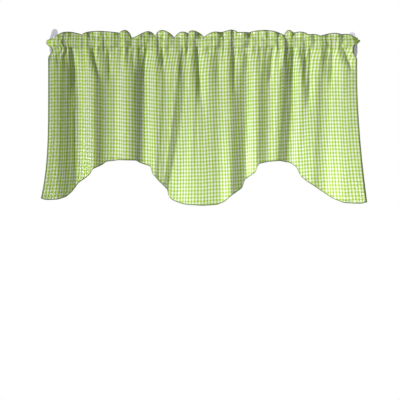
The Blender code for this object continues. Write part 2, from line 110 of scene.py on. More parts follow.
# Turns of the skirt's folds from left to right, each a crest, a valley or a bend between them: its place
# across the front at the pocket, in the upper skirt and at the hem (mm), and how far it stands in front of
# the rod's middle in the upper skirt and at the hem (mm).
FOLDS = (
    # pocket, upper, hem, front, hem_front
    (-383, -377, -405, 13, 13),
    (-352, -352, -354, 10, 9),
    (-320, -306, -307, -10, -10),
    (-275, -269, -266, 8, 9),
    (-246, -242, -243, -3, -4),
    (-217, -215, -217, -4, -5),
    (-193, -190, -193, 8, 7),
    (-174, -170, -172, 7, 5),
    (-146, -144, -151, -9, -5),
    (-115, -114, -122, 4, 5),
    (-94, -90, -112, 1, 1),
    (-61, -65, -104, 7, -3),
    (-45, -49, -98, -1, -7),
    (-43, -38, -70, 1, -3),
    (-28, -24, -32, 4, 8),
    (-8, -2, -3, 3, 8.5),
    (14, 18, 22, 6.5, 6),
    (36, 38, 42, 3.5, 4),
    (62, 64, 65, 9, 11.5),
    (90, 103, 108, -3, -10),
    (112, 115, 114, -1, 5),
    (129, 130, 126, 7, 9),
    (150, 154, 149, -1, 0.5),
    (161, 164, 158, -1.5, -0.5),
    (193, 187, 168, 8, -1.5),
    (217, 222, 200, -9, -13.5),
    (236, 236, 222, 1, -5),
    (252, 253, 238, -1, 0),
    (266, 268, 262, 3, 4),
    (294, 295, 294, -1, 0),
    (334, 338, 340, 10, 14),
    (352, 350, 352, 11, 13.5),
    (381, 373, 401, 12, 18),
)

# How the line of the cloth bends back to the wall past the straight run of the rod, at the pocket, in the
# upper skirt and at the hem.
ENDS = (
    # radius (mm), turn (degrees)
    (18, 78),
    (60, 5),
    (120, 3),
)

# How far the two side edges are drawn in at each height, where the gathers pull on the cloth (mm), how far
# from the middle the pull starts and over what distance it grows.
DRAWN_IN = (
    # height, left, right
    (-40, 0, 0),
    (-33, 1, 4),
    (-27, 8, 12),
    (-20, 15, 16),
    (-12, 15, 17),
    (-7, 10, 17),
    (-2, 3, 12),
    (3, 1, 6),
    (8, 5, 2),
    (30, 5, 0),
)
DRAWN_FROM = 0.312
DRAWN_OVER = 0.075

# The scalloped hem, from the left tail over the two arches to the right tail: each bend's place across the
# front and its height (mm).
HEM = (
    # across, height
    (-404, -379),
    (-384, -383),
    (-356, -382),
    (-334, -375),
    (-320, -362),
    (-311, -350),
    (-306, -342),
    (-288, -330),
    (-276, -320),
    (-271, -308),
    (-254, -301),
    (-244, -296),
    (-239, -290),
    (-206, -286),
    (-164, -287),
    (-155, -293),
    (-128, -302),
    (-126, -319),
    (-110, -337),
    (-96, -350),
    (-88, -358),
    (-85, -376),
    (-70, -387),
    (-44, -395),
    (-2, -397),
    (32, -395),
    (50, -388),
    (70, -371),
    (97, -352),
    (99, -334),
    (112, -326),
    (128, -315),
    (132, -296),
    (158, -290),
    (186, -288),
    (212, -293),
    (228, -304),
    (234, -321),
    (258, -342),
    (294, -366),
    (316, -380),
    (342, -390),
    (384, -392),
    (404, -388),
)
HEM_ROUNDING = 0.0024
HEM_PASSES = 6

# How the folds spread from the upper skirt to the hem: over what height, by what power of the drop inside
# and at the left and right ends, and where the ends start.
SKIRT_FALL = 0.33
INNER_FLARE = 1.35
END_FLARES = (3.8, 1.7)
FLARE_FROM = 0.282
FLARE_OVER = 0.075

# The header ruffle: where each dip in its top edge is across the front, its height, and the height of the
# crown that follows it (mm), and where that crown is between the two dips, as a share.
HEADER = (
    # across, dip, crown, crown_at
    (-383, 8, 27, 0.6),
    (-297, 19.5, 29, 0.4),
    (-205, 24, 31, 0.45),
    (-176, 12, 28, 0.7),
    (-117, 13, 31, 0.33),
    (-71, 11.5, 27, 0.55),
    (-36, 23, 30, 0.22),
    (1, 14, 27, 0.65),
    (44, 26, 32, 0.66),
    (81, 27, 26, 0.5),
    (112, 25, 31, 0.42),
    (197, 17, 31, 0.5),
    (220, 24, 27, 0.45),
    (254, 21, 21, 0.5),
    (284, 17, 24, 0.68),
    (336, 21, 22, 0.4),
    (383, 14, 14, 0.5),
)
HEADER_ROUNDNESS = 0.7

# The bends of the ruffle's line at its top edge: across the front, and in front of the rod's middle (mm),
# how softly it turns, and how much of it the pocket follows.
RUFFLE = (
    # across, front
    (-383, 0),
    (-362, 5),
    (-318, -8),
    (-300, -6),
    (-286, -6.5),
    (-269, -14),
    (-254, 0),
    (-242, -4),
    (-226, 4),
    (-201, -1),
    (-191, 4),
    (-175, -5.5),
    (-157, 3),
    (-138, 2),
    (-109, -8),
    (-89, 3.5),
    (-77, -3),
    (-62, -6),
    (-47, 2),
    (-35, -4.5),
    (-23, 2),
    (-7, -9.5),
    (30, 5),
    (50, -6),
    (62, 0),
    (72, -6),
    (99, 4),
    (116, -8),
    (148, 3),
    (161, 0.5),
    (174, 5),
    (187, -2),
    (192, 1),
    (204, -6),
    (213, 0.5),
    (225, -5.5),
    (238, 3),
    (244, 0),
    (262, 5),
    (273, 0),
    (288, 5.5),
    (311, -2.5),
    (327, 2),
    (344, -7),
    (383, 5),
)
RUFFLE_ROUNDING = 0.0024
RUFFLE_SHARE_AT_POCKET = 0.4

# The ruffle's two ends, where it is lower and leans back to the wall: by these angles on the left and on
# the right.
HEADER_END_FROM = 0.347
HEADER_END_OVER = 0.032
HEADER_END_DROP = 0.35
HEADER_END_LEANS = (radians(55), radians(35))

# Creases pressed into the front by the gathers: where each starts across the front and at what height,
# where it ends, how far it bows to the right on the way, its half width and its depth (mm). A ridge has a
# negative depth.
CREASES = (
    # top, at_height, bottom, down_to, bow, half_width, depth
    # between the folds
    (-318, 2, -314, -150, 0, 10, 6.5),
    (-278, 12, -250, -106, 0, 9, 7.5),
    (-231, -8, -229, -110, 0, 6, 4.4),
    (-172, 14, -172, -76, 0, 7, 3),
    (-139, 6, -147, -100, 0, 8, 7),
    (-102, 20, -98, -78, 0, 7, 10),
    (-98, -30, -96, -130, 0, 10, 2),
    (-62, -10, -64, -125, 0, 7, -2.2),
    (-38, -2, -56, -110, -3, 7, 2),
    (-19, 26, -2, -190, 0, 11, 12),
    (16, 24, 16, -105, 0, 9, -3),
    (38, 4, 36, -120, 0, 7, 3),
    (73, 30, 75, -160, 0, 8, 5.8),
    (96, 12, 95, -90, 0, 8, -4),
    (112, 26, 106, -80, 0, 6, 2.6),
    (140, 6, 141, -62, 0, 6, 3.4),
    (168, 4, 161, -118, 0, 8, 8),
    (198, 14, 196, -90, 0, 6, -3.5),
    (220, 10, 214, -120, 0, 9, 6.5),
    (237, 6, 236, -50, 0, 5, 4.5),
    (248, 10, 244, -130, 0, 6, 8),
    (261, 6, 257, -190, 0, 10, 12),
    (287, -12, 287, -110, 0, 9, -2.5),
    (306, -4, 294, -80, -3, 10, 2.5),
    (315, 12, 313, -120, 0, 11, 10.5),
    (340, -8, 362, -74, 0, 9, 14),
    (341, 24, 345, -26, 0, 8, 9.5),
    (342, -40, 341, -150, 0, 9, -2),
    # narrow ones on the skirt and at the pocket
    (-360, -6, -354, -40, 0, 4, 1.4),
    (-315, -150, -312, -380, 0, 3, 1.6),
    (-292, 4, -300, -30, 0, 4, 1.4),
    (-217, -55, -216, -300, 0, 3, 1.2),
    (-143, -60, -142, -300, 0, 5, 1.2),
    (-110, -45, -112, -360, 0, 3, 1.4),
    (-84, 16, -68, -6, 0, 4, 2),
    (-38, -4, -24, -52, 2, 3, 1.6),
    (-16, -60, -18, -390, 0, 5, 1.2),
    (209, -22, 190, -44, 0, 3, 2),
    (236, -10, 240, -40, 0, 3, 2),
    (315, 2, 312, -22, 0, 4, 1.6),
    # puckers of the header
    (-346, 22, -334, -8, 0, 4, 2.4),
    (-282, 26, -271, -2, 0, 5, 4),
    (-246, 24, -240, -6, 0, 4, 2.2),
    (-234, 26, -230, 8, 0, 4, 1.8),
    (-204, 22, -196, -4, 0, 4, 2.8),
    (-178, 28, -172, 2, 0, 4, 3.2),
    (-136, 22, -146, 0, 0, 4, 2.6),
    (-88, 26, -96, 0, 0, 4, 2.6),
    (-36, 22, -34, -2, 0, 4, 2.4),
    (-9, 16, -6, -8, 0, 5, 4.5),
    (43, 26, 58, -2, 0, 5, 5),
    (113, 22, 112, -10, 0, 5, 5),
    (142, 22, 140, -10, 0, 4, 1.8),
    (163, 20, 166, -2, 0, 4, 2.6),
    (180, 14, 186, -28, 0, 4, 3.6),
    (196, 22, 206, -4, 0, 4, 3.2),
    (222, 24, 212, 2, 0, 4, 3),
    (254, 8, 252, -24, 0, 4, 4),
    (266, 20, 274, 0, 0, 4, 2.6),
    (299, 12, 303, -20, 0, 4, 2.2),
    (358, 16, 362, 0, 0, 4, 1.8),
)

# The shares of a crease's length over which it grows and fades, how deep and how wide its shoulders are, how
# strongly it draws the cloth in, and how much of it the pocket's front takes.
CREASE_STARTS_OVER = 0.12
CREASE_FADES_OVER = 0.5
CREASE_SHOULDER = 0.3
CREASE_SHOULDER_WIDTH = 2.4
CREASE_PULL = 0.45
CREASE_SHARE_AT_POCKET = 0.8

# How much of a crease's depth the cloth takes at each height: less at the seams, which the rod holds.
PRESSED = (
    # height (mm), share
    (-30, 1.0),
    (-12, 0.5),
    (9.3, 0.4),
    (18, 1.0),
)

# How far the rows of the weave lie below their straight line at places across the front (mm), how softly
# that line bends, and how high the waver on it is.
ROWS_LOWERED = (
    # across, lowered
    (-383, -3),
    (-290, -5),
    (-250, 0),
    (-205, 1),
    (-150, 6),
    (-95, 11),
    (-40, 11),
    (30, 7),
    (90, 3),
    (150, -1),
    (215, -6),
    (290, -12),
    (383, -12),
)
ROWS_ROUNDING = 0.012
ROWS_WAVER_HEIGHT = 0.0007

# The grid of the sheet: its columns, which crowd where the folds turn, and its rows from the hem to the rear
# of the pocket.
COLUMNS = 400
COLUMNS_AT_TURNS = 0.008
LOWER_ROWS = 43
UPPER_ROWS = 33
UPPER_REACH = 0.060
POCKET_ROWS = 9
HEADER_ROWS = 9
REAR_HEADER_ROWS = 7
REAR_POCKET_ROWS = 7
FINE_STEPS = 1400
CLOTH_LEVELS = 40

# The rows of the hem: their height above the lower edge and how far they lie in front of the skirt's own
# line (mm). The first few are behind it, on the turned part, and one carries the stitches.
HEM_ROWS = (
    # lift, front
    (7.2, -0.9),
    (4.0, -1.0),
    (0.9, -0.8),
    (0.0, 0.0),
    (0.9, 0.45),
    (4.0, 0.45),
    (6.4, 0.2),
    (7.2, 0.1),
    (9.0, 0.0),
)
TURNED_ROWS = 3
HEM_STITCH_ROW = 6

# How far each layer lies from the middle of the two at the seams and in the ruffle, the rows of the skirt
# that come forward to it, how much longer the ruffle's cloth is than its rise, and how many times the depth
# of each fold counts across the flat cloth.
SEAM_LAYER = 0.0005
HEADER_LAYER = 0.0010
SEAM_ROWS = 6
HEADER_LENGTHENED = 1.1
FULLNESS = 1.7

# A stitch: where its rings stand in half lengths, their radii as shares of the thread's, the points in each,
# how far its middle stands off the cloth as a share of its radius, and how dark the painted shade between
# its twists is, as a share of the thread's colour.
STITCH_RINGS = (-1, -0.6, 0.6, 1)
STITCH_RADII = (0.4, 1, 1, 0.4)
STITCH_SIDES = 6
STITCH_PROUD = 0.4
TWIST_PAINTED_SHADE = 0.7

# The weave: where a green stripe begins and is full on a wave from -1 to 1, how softly one yarn crosses the
# other, how much of the colour the stripes along the drop give, and how much the yarn on top shows.
STRIPE_EDGE = (-0.22, 0.12)
CROSSING_EDGE = 0.15
UPRIGHT_SHARE = 0.6
TOP_YARN_SHARE = 0.28

# Painted shade along the hem, the sides and the header's fold, which stands in for the shade where the cloth
# turns away: how far in from an edge this dark line is full, and where it ends.
EDGE_PAINTED_SHADE = (0.0012, 0.0032)

# The floor's reach and grid, the surround's strength and tint as a light, and the camera's sensor (mm), its
# place and the height at the middle of its view.
FLOOR_REACH = 1.6
FLOOR_POINTS = 9
SURROUND_STRENGTH = 0.24
SURROUND_TINT = (1.0, 1.0, 0.9, 1)
SENSOR_WIDTH = 36.0
CAMERA_ACROSS = -0.0085
CAMERA_HEIGHT = -0.182
VIEW_MIDDLE = -0.3836


def ease(amount):
    """Smooth step from 0 to 1."""
    amount = np.clip(amount, 0.0, 1.0)
    return amount * amount * (3 - 2 * amount)


def near_ends(along, start, over):
    """0 in the middle and 1 at both ends: a smooth step in the distance from the middle."""
    return ease((np.abs(along) - start) / over)


def running(steps):
    """Running totals of the steps along the first axis, from 0."""
    return np.concatenate([np.zeros((1, *steps.shape[1:])), np.cumsum(steps, axis=0)])


def rounded(values, spacing, width):
    """Gaussian smoothing of evenly spaced values, which keeps the two ends where they are."""
    reach = int(3 * width / spacing)
    weights = np.exp(-0.5 * (np.arange(-reach, reach + 1) * spacing / width) ** 2)
    padded = np.pad(values, reach, mode="reflect", reflect_type="odd")
    return np.convolve(padded, weights / weights.sum(), mode="valid")


def rod_line(along, bend, turn):
    """Points and outward directions on the line of the rod, by distance along it from the middle.

    The line runs straight along X as far as RUN_END on either side, then bends back towards the wall
    with the radius bend, and past the angle turn it goes on straight.
    """
    side = np.sign(along)
    past = np.maximum(np.abs(along) - RUN_END, 0.0)
    angle = np.minimum(past / bend, turn)
    beyond = past - angle * bend
    x = np.minimum(np.abs(along), RUN_END) + bend * np.sin(angle) + beyond * np.cos(angle)
    y = bend * (1 - np.cos(angle)) + beyond * np.sin(angle) - ROD_PROJECTION
    outward = np.stack([side * np.sin(angle), -np.cos(angle), np.zeros_like(x)], axis=-1)
    return np.stack([side * x, y, np.zeros_like(x)], axis=-1), outward


def drawn(along, height):
    """Distance along the rod line once the side edges are drawn in."""
    heights, left, right = np.array(DRAWN_IN).T * MM
    pull = np.where(along < 0, np.interp(height, heights, left), np.interp(height, heights, right))
    return along - np.sign(along) * pull * near_ends(along, DRAWN_FROM, DRAWN_OVER)


def on_rod_line(along, front, height, end):
    """Points at the given distance along the rod line, in front of it, and height, all of one grid."""
    bend, turn = ENDS[end]
    along, front, height = np.broadcast_arrays(along, front, height)
    line, outward = rod_line(drawn(along, height), bend * MM, radians(turn))
    points = line + outward * front[..., None]
    points[..., 2] = height
    return points


def fold_corners(level):
    """The turns of the folds at one level: distance along the rod line, and distance in front."""
    table = np.array(FOLDS) * MM
    front = table[:, 4] if level == 2 else table[:, 3]
    return table[:, level], front * (FOLD_SHARE_AT_ROD if level == 0 else 1)


def flat_lengths():
    """Distance along the flat cloth of each turn, measured round the folds of the upper skirt."""
    along, front = fold_corners(1)
    return running(np.hypot(np.diff(along), np.diff(front)))


def smooth_line(flat, width, places, values):
    """Values at places on the flat cloth, joined by straight lines, rounded and read at flat distances."""
    fine = np.linspace(0, flat[-1], FINE_STEPS)
    return np.interp(flat, fine, rounded(np.interp(fine, places, values), fine[1], width))


def fold_curves(flat):
    """(along, front) at the pocket, in the upper skirt and at the hem, at the given flat distances."""
    corners = flat_lengths()
    return [
        [smooth_line(flat, width, corners, values) for values in fold_corners(level)]
        for level, width in enumerate(FOLD_ROUNDINGS)
    ]


def fold_columns(flat):
    """The folds' curves as columns, for use with rows of heights."""
    return [[values[:, None] for values in pair] for pair in fold_curves(flat)]


def across_front(flat, table, width):
    """A table of places across the front and values (mm), read along the pocket and rounded."""
    places, values = np.array(table).T * MM
    fine = np.linspace(0, flat[-1], FINE_STEPS)
    read = np.interp(fold_curves(fine)[0][0], places, values)
    return np.interp(flat, fine, rounded(read, fine[1], width))


def column_places():
    """Flat distances of the grid's columns, closer together where the folds turn."""
    fine = np.linspace(0, flat_lengths()[-1], FINE_STEPS)
    along, front = fold_curves(fine)[1]
    angle = np.unwrap(np.arctan2(np.gradient(front), np.gradient(along)))
    density = 1 / fine[-1] + np.abs(np.gradient(angle, fine)) * COLUMNS_AT_TURNS
    density = rounded(density, fine[1], 2 * FOLD_ROUNDINGS[1])
    share = running(density[:-1] + density[1:])
    return np.interp(np.linspace(0, share[-1], COLUMNS), share, fine)


def fall_share(low, drop):
    """How much of the hem's shape the cloth has at each drop below the seam: more early near the middle."""
    at_end = near_ends(low, FLARE_FROM, FLARE_OVER)
    flare = INNER_FLARE + (np.where(low < 0, *END_FLARES) - INNER_FLARE) * at_end
    return np.clip((drop - GATHER_FADE) / SKIRT_FALL, 0, 1) ** flare


def hem_height(flat):
    """Height of the cut edge: the hem's bends joined by straight lines of the flat cloth, then rounded.

    Where each bend falls on the cloth depends on the folds' places at its height, so it is found in passes.
    """
    table = np.array(HEM) * MM
    _, (upper, _), (low, _) = fold_curves(flat)
    cut = np.full(flat.shape, table[:, 1].mean())
    for _ in range(HEM_PASSES):
        across = upper + (low - upper) * fall_share(low, POCKET_BOTTOM - cut)
        places = np.interp(table[:, 0], np.maximum.accumulate(across), flat)
        cut = smooth_line(flat, HEM_ROUNDING, places, table[:, 1])
    return cut


def header_height(across):
    """Height of the ruffle's top edge: a round crown between each dip and the next, leaning to one side.

    The crown is sin(pi * u^p)^HEADER_ROUNDNESS, where u runs from 0 to 1 between the dips and p puts the
    top of the crown in its place.
    """
    table = np.array(HEADER)[:, :3] * MM
    crown_at = np.array(HEADER)[:, 3]
    places, dips = table[:, 0], table[:, 1]
    spot = np.clip(np.searchsorted(places, across) - 1, 0, len(table) - 2)
    share = np.clip((across - places[spot]) / (places[spot + 1] - places[spot]), 0, 1)
    low = dips[spot] + (dips[spot + 1] - dips[spot]) * share
    leaning = share ** (np.log(0.5) / np.log(crown_at[spot]))
    return low + (table[spot, 2] - low) * np.sin(pi * leaning) ** HEADER_ROUNDNESS


def ruffle_line(flat):
    """How far the ruffle's top edge stands in front at each flat distance."""
    return across_front(flat, RUFFLE, RUFFLE_ROUNDING)


def broad_gathers(flat):
    """Broad gathers where the cloth is drawn up on the rod: one sine whose pitch drifts."""
    drift = GATHER_DRIFT * np.sin(2 * pi * flat / GATHER_DRIFT_PITCH)
    return GATHER_DEPTH * np.sin(2 * pi * flat / GATHER_PITCH + drift)


def small_gathers(flat, pitch, wander):
    """Uneven gathers from -1 to 1: a sine of the pitch whose phase and strength both wander.

    The phase gains 1.9 sin(wx) + 1.3 sin(2.3wx + 1) and the strength is 0.62 + 0.38 sin(1.37wx + 2.1).
    """
    phase = 2 * pi * flat / pitch + 1.9 * np.sin(flat * wander) + 1.3 * np.sin(flat * wander * 2.3 + 1)
    return np.sin(phase) * (0.62 + 0.38 * np.sin(flat * wander * 1.37 + 2.1))


def creases(across, height):
    """(depth, sideways pull) of the creases at each point.

    Across each crease the depth is a soft V, exp(-|d/w|^1.5), less a lower and wider one that leaves a
    shoulder on either side. Along it the depth grows over the first part of its length and fades over the
    last. The pull draws the cloth towards the middle of the crease.
    """
    depth = np.zeros(across.shape)
    pull = np.zeros(across.shape)
    for top, start, bottom, end, bow, width, deep in np.array(CREASES) * MM:
        share = (start - height) / (start - end)
        inside = ease(share / CREASE_STARTS_OVER) * ease((1 - share) / CREASE_FADES_OVER)
        middle = top + (bottom - top) * share + bow * 4 * share * (1 - share)
        away = (across - middle) / width
        shoulder = CREASE_SHOULDER * np.exp(-((away / CREASE_SHOULDER_WIDTH) ** 2))
        trough = np.exp(-np.abs(away) ** 1.5) - shoulder
        depth += deep * inside * trough
        pull -= deep * inside * CREASE_PULL * away * np.exp(-(away**2))
    return depth, pull


def press_share(height):
    """How much of a crease's depth the cloth takes at each height."""
    heights, shares = np.array(PRESSED).T
    return np.interp(height, heights * MM, shares)


def settled(pocket, drop):
    """How far the cloth has gone, at each drop below the seam, from its gathers to its hanging folds."""
    at_end = near_ends(pocket, DRAWN_FROM, DRAWN_OVER)
    return ease(drop / (GATHER_FADE + (END_FADE - GATHER_FADE) * at_end))


def skirt_surface(flat, height, gather_depth):
    """The skirt at each column's flat distance and the given heights, from the hem to the lower seam.

    Three copies of the folds, as they are at the pocket, in the upper skirt and at the hem, are blended by
    the drop below the seam. Small gathers start at the seam and die away below it, and shallow ripples run
    down the whole skirt.
    """
    (pocket, puckers), (upper, folds), (low, hem_folds) = fold_columns(flat)
    column = flat[:, None]
    drop = POCKET_BOTTOM - height
    spread = settled(pocket, drop)[..., None]
    fall = fall_share(low, drop)[..., None]
    small = small_gathers(column, *SEAM_GATHERS) * gather_depth * np.exp(-drop / SEAM_GATHERS_FADE)
    lean = small_gathers(column + SLANT * drop, *SLANTING_GATHERS) * gather_depth
    lean = lean * SLANTING_STRENGTH * np.exp(-drop / SLANTING_FADE)
    ripples = small_gathers(column + RIPPLE_SLANT * drop, *RIPPLES) * RIPPLE_DEPTH
    gathered = on_rod_line(pocket, puckers + broad_gathers(column) + small + lean, height, 0)
    hung = on_rod_line(upper, folds + lean + ripples, height, 1)
    flared = on_rod_line(low, hem_folds + ripples, height, 2)
    lower = hung + (flared - hung) * fall
    return gathered + (lower - gathered) * spread


def pressed(points):
    """A grid of points with the creases pressed into it, towards the wall, and drawn in sideways."""
    depth, pull = creases(points[..., 0], points[..., 2])
    moved = np.stack([pull, depth, np.zeros_like(depth)], axis=-1)
    return points + moved * press_share(points[..., 2:])


def pocket_surface(flat, rows, side, gather_depth):
    """One side of the rod pocket, from the lower seam to the upper: a flattened arch round the rod.

    Its distance from the rod's line is (1 - |u|^3)^0.6 of the full swell, where u runs from -1 to 1 between
    the seams, and never less than what clears the rod. side is 1 for the front and -1 for the rear.
    """
    along, puckers = fold_columns(flat)[0]
    column = flat[:, None]
    waves = puckers + broad_gathers(column)
    swell = POCKET_SWELL + waves * POCKET_FRONT_SHARE
    swell = swell + side * ruffle_line(flat)[:, None] * RUFFLE_SHARE_AT_POCKET
    place = np.linspace(-1, 1, rows)[None, :]
    height = (POCKET_BOTTOM + POCKET_TOP) / 2 + (POCKET_TOP - POCKET_BOTTOM) / 2 * place
    arch = (1 - np.abs(place) ** 3) ** 0.6
    small = small_gathers(column, *SEAM_GATHERS) * gather_depth
    if side > 0:
        full = POCKET_SIDE + np.maximum(swell, 0)
    else:
        full = POCKET_SIDE + np.maximum(POCKET_SWELL - swell, 0) * POCKET_REAR_SHARE
    seam = waves * (1 + (SEAM_SHARE - 1) * (place + 1) / 2) + side * SEAM_LAYER
    small = small * (MID_POCKET_SHARE + (1 - MID_POCKET_SHARE) * np.abs(place))
    front = seam * (1 - arch) + side * full * arch + small
    depth, pull = creases(np.broadcast_to(along, front.shape), height)
    front = front - depth * press_share(height) * (1 - arch)
    if side > 0:
        front = np.maximum(front - depth * CREASE_SHARE_AT_POCKET * arch, (ROD_HALF_DEPTH + MM) * arch)
        along = along + pull * arch
    return on_rod_line(along, front, height, 0)


def header_surface(flat, rows, side, gather_depth):
    """One layer of the header ruffle, from the upper seam to the fold along its top edge.

    The seam's line turns into the ruffle's own by the top. The two layers part over the first third of the
    way up and meet again at the fold.
    """
    along, puckers = fold_columns(flat)[0]
    column = flat[:, None]
    waves = puckers + broad_gathers(column)
    share = np.linspace(0, 1, rows)[None, :]
    rise = header_height(along) - POCKET_TOP
    at_end = near_ends(along, HEADER_END_FROM, HEADER_END_OVER)
    lean = np.where(along < 0, *HEADER_END_LEANS) * at_end
    rise = rise * (1 - HEADER_END_DROP * at_end)
    small = small_gathers(column, *SEAM_GATHERS) * gather_depth * (1 - share)
    ruffle = ruffle_line(flat)[:, None] + small_gathers(column, *RUFFLE_GATHERS) * gather_depth
    opened = 1 - (1 - share) ** 2
    front = waves * SEAM_SHARE * (1 - opened) + ruffle * opened + small
    front = front - rise * share * np.sin(lean)
    height = POCKET_TOP + rise * share * np.cos(lean)
    depth, pull = creases(np.broadcast_to(along, height.shape), height)
    layer = SEAM_LAYER + (HEADER_LAYER - SEAM_LAYER) * np.minimum(share * 3, 1)
    layer = side * layer * np.sqrt(1 - share**6)
    taken = press_share(height)
    return on_rod_line(along + pull * taken, front - depth * taken + layer, height, 0), share


def level_normals(grid):
    """Unit normals of each row's line, level and on the side that faces away from the wall."""
    along = np.gradient(grid, axis=0)
    normal = np.stack([along[..., 1], -along[..., 0], np.zeros(along.shape[:2])], axis=-1)
    return normal / np.linalg.norm(normal, axis=2, keepdims=True)


def skirt_rows(cut):
    """(heights, distance in front) of the skirt's rows: the turned hem, the lower skirt and the upper."""
    lift, front = np.array(HEM_ROWS).T * MM
    hem = cut[:, None] + lift
    start = hem[:, -1:]
    knee = POCKET_BOTTOM - UPPER_REACH
    lower = start + (knee - start) * np.linspace(0, 1, LOWER_ROWS + 1)[None, 1:]
    upper = knee + UPPER_REACH * np.linspace(0, 1, UPPER_ROWS + 1)[None, 1:]
    heights = np.concatenate([hem, lower, np.broadcast_to(upper, (len(cut), UPPER_ROWS))], axis=1)
    offset = np.zeros(heights.shape[1])
    offset[: len(front)] = front
    offset[-SEAM_ROWS:] = SEAM_LAYER * np.linspace(0, 1, SEAM_ROWS)
    return heights, offset


def cloth_across(flat, heights):
    """Distance across the flat cloth of each point of the skirt.

    Along each of a few levels the steps from column to column are added up, with their depth counted
    FULLNESS times for the gathers too fine to model, and the sum is scaled to the flat width, which is the
    sum at the seam. Each point then reads its own column between two levels. A side edge that is drawn in
    takes the cloth round behind itself, so the stripes beside it stay upright.
    """
    levels = np.linspace(heights.min(), POCKET_BOTTOM, CLOTH_LEVELS)
    (pocket, puckers), (upper, folds), (low, hem_folds) = fold_columns(flat)
    drop = POCKET_BOTTOM - levels[None, :]
    spread, fall = settled(pocket, drop), fall_share(low, drop)

    def across_levels(place):
        hung = place(upper) + (place(low) - place(upper)) * fall
        return place(pocket) + (hung - place(pocket)) * spread

    hung_front = folds + (hem_folds - folds) * fall
    front = puckers + broad_gathers(flat[:, None]) + (hung_front - puckers) * spread
    straight = across_levels(lambda along: along)
    steps = np.hypot(np.diff(straight, axis=0), np.diff(front, axis=0) * FULLNESS)
    run = running(steps)
    run *= run[-1, -1] / run[-1]
    moved = across_levels(lambda along: drawn(along, levels[None, :]))
    for k in range(CLOTH_LEVELS):
        run[:, k] = np.interp(moved[:, k], straight[:, k], run[:, k])
    place = (heights - levels[0]) / (levels[1] - levels[0])
    below = np.clip(place.astype(int), 0, CLOTH_LEVELS - 2)
    column = np.arange(len(flat))[:, None]
    first, second = run[column, below], run[column, below + 1]
    return first + (second - first) * (place - below)


def pocket_across(flat, heights, seam):
    """Distance across the flat cloth of points above the lower seam, from its value along that seam."""
    along = fold_curves(flat)[0][0]
    untouched = np.interp(along, drawn(along, np.full_like(along, POCKET_BOTTOM)), seam)
    moved = drawn(along[:, None], heights)
    return np.interp(moved.ravel(), along, untouched).reshape(heights.shape)


def rows_lowered(flat):
    """How far the rows of the weave lie below their straight line at each flat distance."""
    waver = small_gathers(flat, *ROWS_WAVER) * ROWS_WAVER_HEIGHT
    return across_front(flat, ROWS_LOWERED, ROWS_ROUNDING) + waver


def cloth_sheet(gather_depth):
    """The sheet as a grid of columns and rows.

    Returns its points, flat coordinates (distance across and up the flat cloth), distance from the nearest
    edge, and the rows of the hem stitching and of the two seams on the front.
    """
    flat = column_places()
    cut = hem_height(flat)
    heights, offset = skirt_rows(cut)
    skirt = pressed(skirt_surface(flat, heights, gather_depth))
    skirt = skirt + level_normals(skirt) * offset[None, :, None]
    turned = np.arange(heights.shape[1]) < TURNED_ROWS
    skirt_up = np.where(turned, 2 * cut[:, None] - heights, heights) - POCKET_BOTTOM
    pocket = pocket_surface(flat, POCKET_ROWS, 1, gather_depth)
    pocket_up = np.broadcast_to(POCKET_LENGTH * np.linspace(0, 1, POCKET_ROWS), pocket.shape[:2])
    header, share = header_surface(flat, HEADER_ROWS, 1, gather_depth)
    rise = (header[:, -1:, 2] - POCKET_TOP) * HEADER_LENGTHENED
    header_up = POCKET_LENGTH + rise * share
    back, back_share = header_surface(flat, REAR_HEADER_ROWS, -1, gather_depth)
    back_up = POCKET_LENGTH + rise * (2 - back_share)
    rear = pocket_surface(flat, REAR_POCKET_ROWS, -1, gather_depth)
    rear_up = POCKET_LENGTH * (2 - np.linspace(0, 1, REAR_POCKET_ROWS)) + 2 * rise
    points = np.concatenate(
        [skirt, pocket[:, 1:], header[:, 1:], back[:, -2::-1], rear[:, -2::-1]], axis=1
    )
    up = np.concatenate(
        [skirt_up, pocket_up[:, 1:], header_up[:, 1:], back_up[:, -2::-1], rear_up[:, -2::-1]], axis=1
    )
    across = cloth_across(flat, heights)
    above = pocket_across(flat, points[:, across.shape[1] :, 2], across[:, -1])
    across = np.concatenate([across, above], axis=1)
    low = skirt.shape[1] - 1
    high = low + POCKET_ROWS - 1
    crest = high + HEADER_ROWS - 1
    # Distance from the nearest edge or the header's fold, which places the painted shade along them.
    edge = np.broadcast_to(np.minimum(flat, flat[-1] - flat)[:, None], up.shape)
    edge = np.minimum(edge, np.abs(up - (cut[:, None] - POCKET_BOTTOM)))
    edge = np.minimum(edge, np.abs(up - up[:, crest : crest + 1]))
    up = up + rows_lowered(flat)[:, None]
    return points, np.stack([across, up], axis=-1), edge, (HEM_STITCH_ROW, low, high)


def grid_faces(points):
    """Quads of a grid whose points are numbered column by column, facing away from the wall."""
    columns, rows = points.shape[:2]
    first = np.arange(columns - 1)[:, None] * rows + np.arange(rows - 1)[None, :]
    quads = np.stack([first, first + rows, first + rows + 1, first + 1], axis=-1)
    return quads.reshape(-1, 4)


def mesh_from(name, points, faces):
    """A mesh from an array of points, of any grid, and one of quads."""
    mesh = bpy.data.meshes.new(name)
    mesh.vertices.add(points.size // 3)
    mesh.vertices.foreach_set("co", points.astype(np.float32).ravel())
    mesh.loops.add(faces.size)
    mesh.loops.foreach_set("vertex_index", faces.astype(np.int32).ravel())
    mesh.polygons.add(len(faces))
    mesh.polygons.foreach_set("loop_start", np.arange(0, faces.size, faces.shape[1], dtype=np.int32))
    mesh.update(calc_edges=True)
    mesh.validate()
    mesh.shade_smooth()
    return mesh


def show(mesh, finish):
    """Links a mesh as an object of the same name, at the origin, with one material."""
    mesh.materials.append(finish)
    made = bpy.data.objects.new(mesh.name, mesh)
    bpy.context.scene.collection.objects.link(made)
    return made


